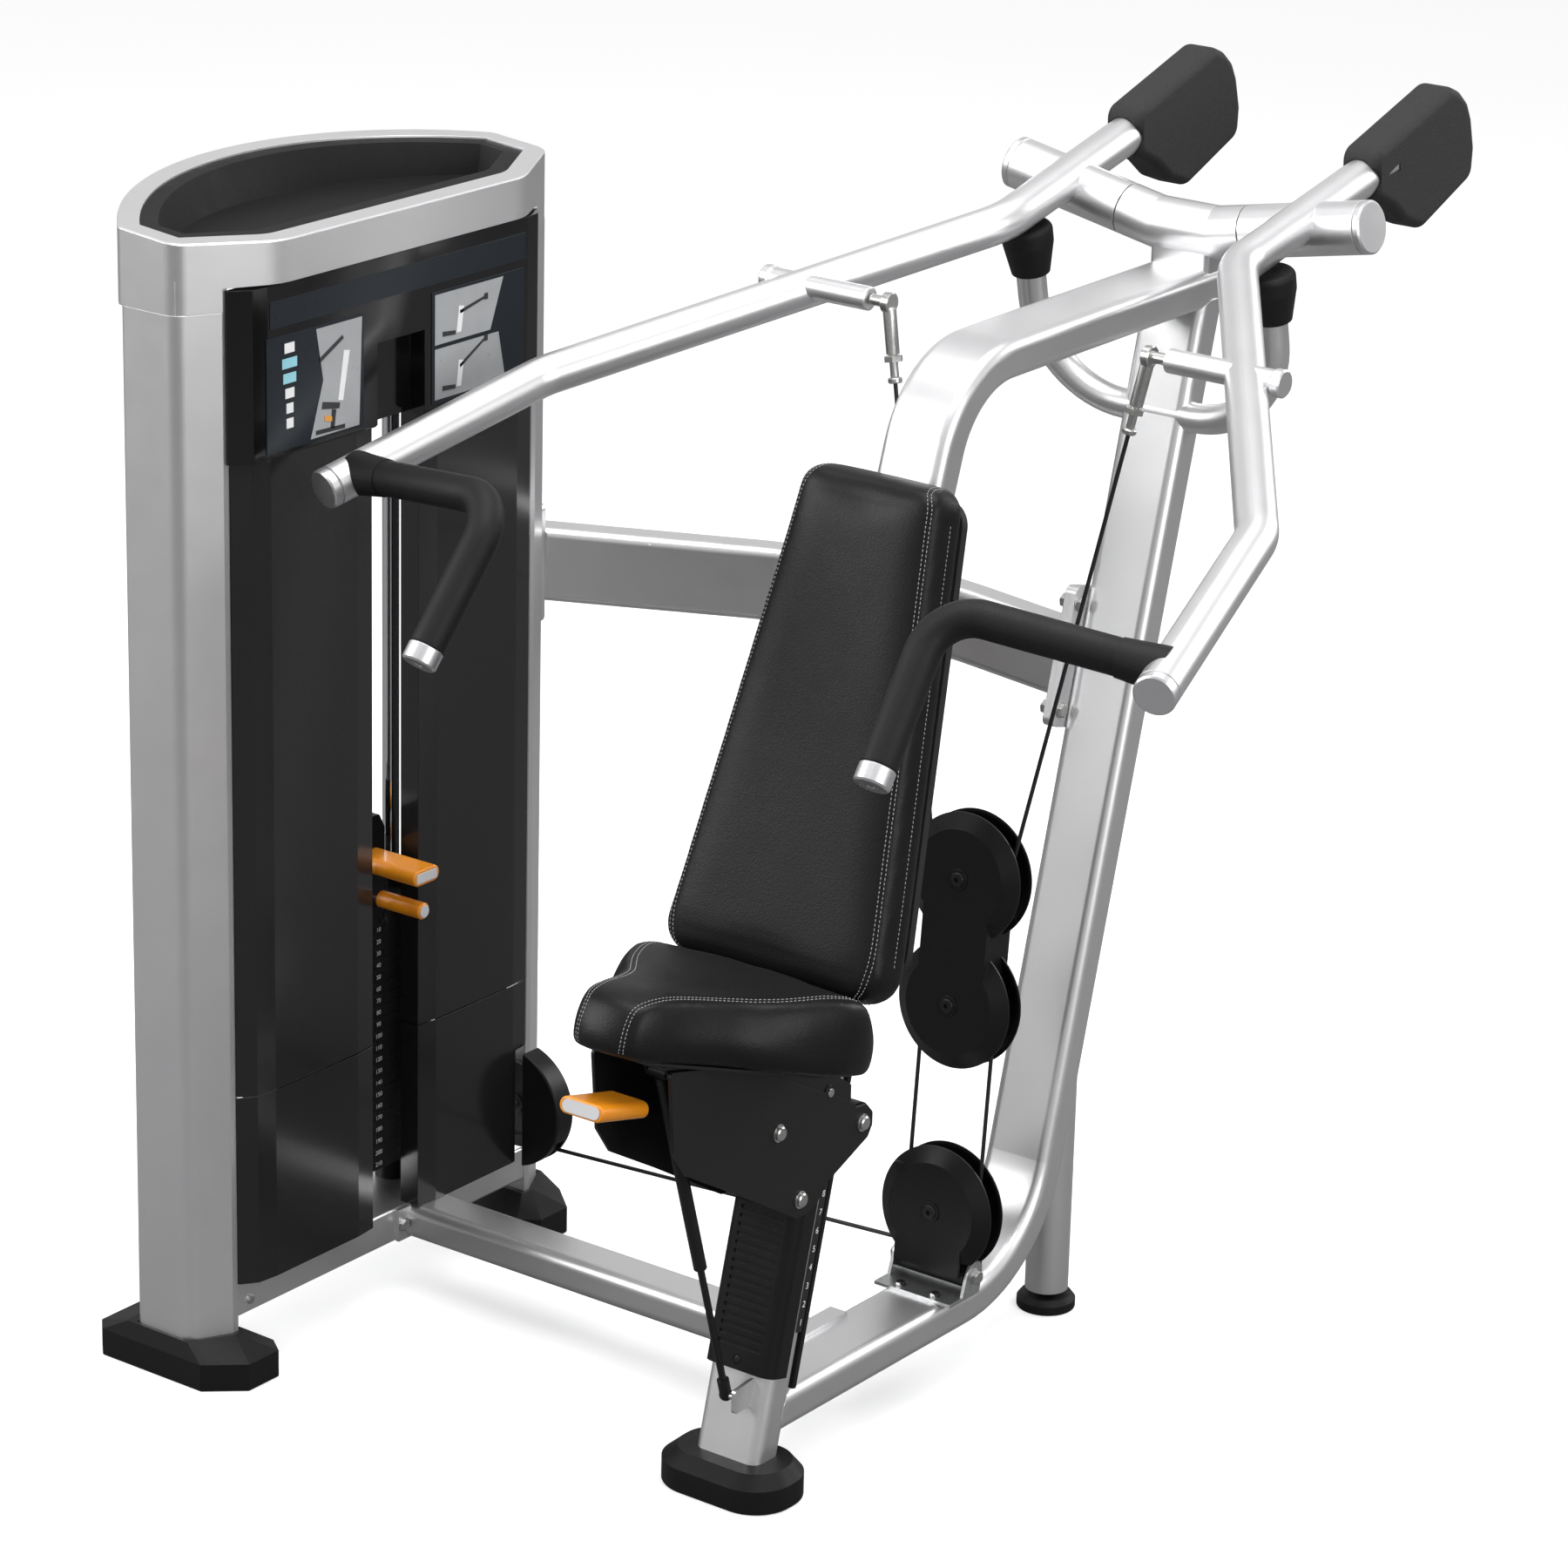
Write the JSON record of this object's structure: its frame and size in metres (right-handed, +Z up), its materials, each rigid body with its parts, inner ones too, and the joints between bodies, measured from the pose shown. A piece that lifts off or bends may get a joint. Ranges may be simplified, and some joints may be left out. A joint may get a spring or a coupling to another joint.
{
  "type": "shoulder press machine",
  "caption": "Selectorized converging overhead press: adjustable seat, back pad, two cable-linked press arms with counterweights, and a weight tower.",
  "frame": {"origin": "centre of the underside of the rear levelling foot, on the floor", "axes": "+Z up, the user sits facing -Y, +X is the user's left, the weight tower stands at -X; x = 0 is the middle plane of the seat"},
  "size_m": [1.7581, 1.7597, 1.77],
  "materials": {
    "frame_silver": "satin metallic silver powder coat",
    "black_paint": "black powder coat",
    "bolt_zinc": "zinc plated",
    "galvanised": "galvanised sheet",
    "chrome_rod": "polished",
    "black_rubber": "matt",
    "speckled_rubber": "matt with fine grey fleck",
    "upholstery": "black, fine grain",
    "board": "matt",
    "black_plastic": "fine texture",
    "header_black": "gloss",
    "smoked_panel": "smoky dark grey, semi-gloss",
    "amber": "amber orange",
    "amber_grey": "amber orange",
    "wheel_grey": "nylon",
    "plate_black": "black",
    "bush": "sintered bronze",
    "cable_black": "nylon coated wire rope",
    "brushed_alu": "satin"
  },
  "bodies": {
    "frame": {"main_frame": "frame_silver", "seat_column": "frame_silver", "levelling_foot": "black_rubber", "front_boot": "black_rubber", "gooseneck": "frame_silver", "yoke_hub": "frame_silver", "arm_bushes": "bush", "stop_bumpers": "black_rubber", "lower_cross_rail": "frame_silver", "upper_cross_arm": "frame_silver", "frame_bolts": "bolt_zinc", "column_cover": "black_plastic", "column_guides": "black_plastic", "back_pad": "upholstery", "back_board": "board", "bottom_pulley_bracket": "galvanised", "bottom_pulley_housing": "black_plastic", "tower_frame": "frame_silver", "tower_cap": "frame_silver", "cap_tray": "black_plastic", "header_panel": "header_black", "shroud_left": "smoked_panel", "shroud_right": "smoked_panel", "guide_rods": "chrome_rod", "tower_rubbers": "black_rubber", "base_pulley_cover": "black_plastic", "weight_plates": "plate_black", "weight_cable_run": "cable_black"},
    "press_arm_left": {"arm_left": "frame_silver", "arm_caps_left": "brushed_alu", "grip_left": "black_rubber", "counterweight_left": "speckled_rubber"},
    "press_arm_right": {"arm_right": "frame_silver", "arm_caps_right": "brushed_alu", "grip_right": "black_rubber", "counterweight_right": "speckled_rubber"},
    "cable_end_left": {"rod_end_left": "bolt_zinc", "press_cable_left": "cable_black"},
    "cable_end_right": {"rod_end_right": "bolt_zinc", "press_cable_right": "cable_black"},
    "carriage": {"carriage_housing": "black_plastic", "carriage_axles": "bolt_zinc", "weight_cable_falls": "cable_black"},
    "wheel_upper": {"carriage_wheel_upper": "wheel_grey"},
    "wheel_lower": {"carriage_wheel_lower": "wheel_grey"},
    "wheel_bottom": {"bottom_pulley_wheel": "wheel_grey"},
    "wheel_base": {"base_pulley_wheel": "wheel_grey"},
    "wheel_top_front": {"top_pulley_front": "wheel_grey"},
    "wheel_top_rear": {"top_pulley_rear": "wheel_grey"},
    "stack_head": {"top_plate": "plate_black", "addon_housing": "black_plastic", "stack_cable": "cable_black"},
    "pin": {"selector_pin": "amber"},
    "addon": {"addon_knob": "amber_grey"},
    "seat": {"seat_pad": "upholstery", "seat_carriage": "black_paint", "seat_rollers": "black_plastic"},
    "lever": {"seat_lever": "amber"},
    "spring_rod": {"strut_rod": "bolt_zinc"},
    "spring_cylinder": {"strut_cylinder": "black_paint"}
  },
  "joints": [
    {"name": "press_right", "type": "hinge", "parent": "frame", "child": "press_arm_right", "pos_m": [0, 0.249, 1.57793], "axis": [-0.9818, 0, 0.19], "range_deg": [0, 25]},
    {"name": "press_left", "type": "hinge", "parent": "frame", "child": "press_arm_left", "pos_m": [0, 0.249, 1.57793], "axis": [-0.9818, 0, -0.19], "range_deg": [0, 25]},
    {"name": "cable_swing_left", "type": "hinge", "parent": "press_arm_left", "child": "cable_end_left", "pos_m": [0.215, -0.17658, 1.521], "axis": [0.9825, -0.0958, 0.1595], "range_deg": [0, 27], "deforming": ["press_cable_left"]},
    {"name": "cable_swing_right", "type": "hinge", "parent": "press_arm_right", "child": "cable_end_right", "pos_m": [-0.215, -0.17658, 1.521], "axis": [0.9825, 0.0958, -0.1595], "range_deg": [0, 27], "deforming": ["press_cable_right"]},
    {"name": "carriage_slide", "type": "slide", "parent": "frame", "child": "carriage", "axis": [0, 0.0812, 0.9967], "range_m": [0, 0.182], "deforming": ["weight_cable_falls"]},
    {"name": "carriage_wheel_upper_spin", "type": "hinge", "parent": "carriage", "child": "wheel_upper", "pos_m": [0, -0.23982, 0.74497], "axis": [0, -0.9967, 0.0812], "continuous": true},
    {"name": "carriage_wheel_lower_spin", "type": "hinge", "parent": "carriage", "child": "wheel_lower", "pos_m": [0, -0.2549, 0.55998], "axis": [0, -0.9967, 0.0812], "range_deg": [0, 175]},
    {"name": "bottom_pulley_spin", "type": "hinge", "parent": "frame", "child": "wheel_bottom", "pos_m": [0, -0.28, 0.252], "axis": [0, -0.9967, 0.0812], "range_deg": [0, 345]},
    {"name": "base_pulley_spin", "type": "hinge", "parent": "frame", "child": "wheel_base", "pos_m": [-0.7545, -0.313, 0.221], "axis": [0, -1, 0], "range_deg": [0, 345]},
    {"name": "top_pulley_front_spin", "type": "hinge", "parent": "frame", "child": "wheel_top_front", "pos_m": [-0.852, -0.57, 1.527], "axis": [-1, 0, 0], "range_deg": [0, 525]},
    {"name": "top_pulley_rear_spin", "type": "hinge", "parent": "frame", "child": "wheel_top_rear", "pos_m": [-0.852, -0.355, 1.527], "axis": [-1, 0, 0], "range_deg": [0, 525]},
    {"name": "stack_slide", "type": "slide", "parent": "frame", "child": "stack_head", "axis": [0, 0, 1], "range_m": [0, 0.364], "deforming": ["stack_cable"]},
    {"name": "selector_pin_slide", "type": "slide", "parent": "stack_head", "child": "pin", "axis": [1, 0, 0], "range_m": [0, 0.09]},
    {"name": "addon_knob_slide", "type": "slide", "parent": "stack_head", "child": "addon", "axis": [1, 0, 0], "range_m": [0, 0.025]},
    {"name": "seat_slide", "type": "slide", "parent": "frame", "child": "seat", "axis": [0, 0.2494, 0.9684], "range_m": [-0.18, 0]},
    {"name": "seat_lever_tilt", "type": "hinge", "parent": "seat", "child": "lever", "pos_m": [0, -0.767, 0.544], "axis": [-1, 0, 0], "range_deg": [0, 5]},
    {"name": "gas_spring_swing", "type": "hinge", "parent": "frame", "child": "spring_rod", "pos_m": [0, -0.784, 0.146], "axis": [1, 0, 0], "range_deg": [0, 13.5]},
    {"name": "gas_spring_slide", "type": "slide", "parent": "spring_rod", "child": "spring_cylinder", "axis": [0, -0.2882, 0.9576], "range_m": [-0.1435, 0]}
  ],
  "couplings": [
    {"joint": "press_left", "follows": "press_right", "ratio": 1},
    {"joint": "cable_swing_left", "follows": "press_right", "ratio": 1.0493},
    {"joint": "cable_swing_right", "follows": "press_right", "ratio": 1.0493},
    {"joint": "carriage_slide", "follows": "press_right", "m_per_rad": 0.40965},
    {"joint": "carriage_wheel_lower_spin", "follows": "press_right", "ratio": 6.7156},
    {"joint": "bottom_pulley_spin", "follows": "press_right", "ratio": 13.431},
    {"joint": "base_pulley_spin", "follows": "press_right", "ratio": 13.431},
    {"joint": "top_pulley_front_spin", "follows": "press_right", "ratio": 20.482},
    {"joint": "top_pulley_rear_spin", "follows": "press_right", "ratio": 20.482},
    {"joint": "stack_slide", "follows": "press_right", "m_per_rad": 0.8193},
    {"joint": "gas_spring_swing", "follows": "seat_slide", "rad_per_m": -1.2898},
    {"joint": "gas_spring_slide", "follows": "seat_slide", "ratio": 0.79508}
  ]
}
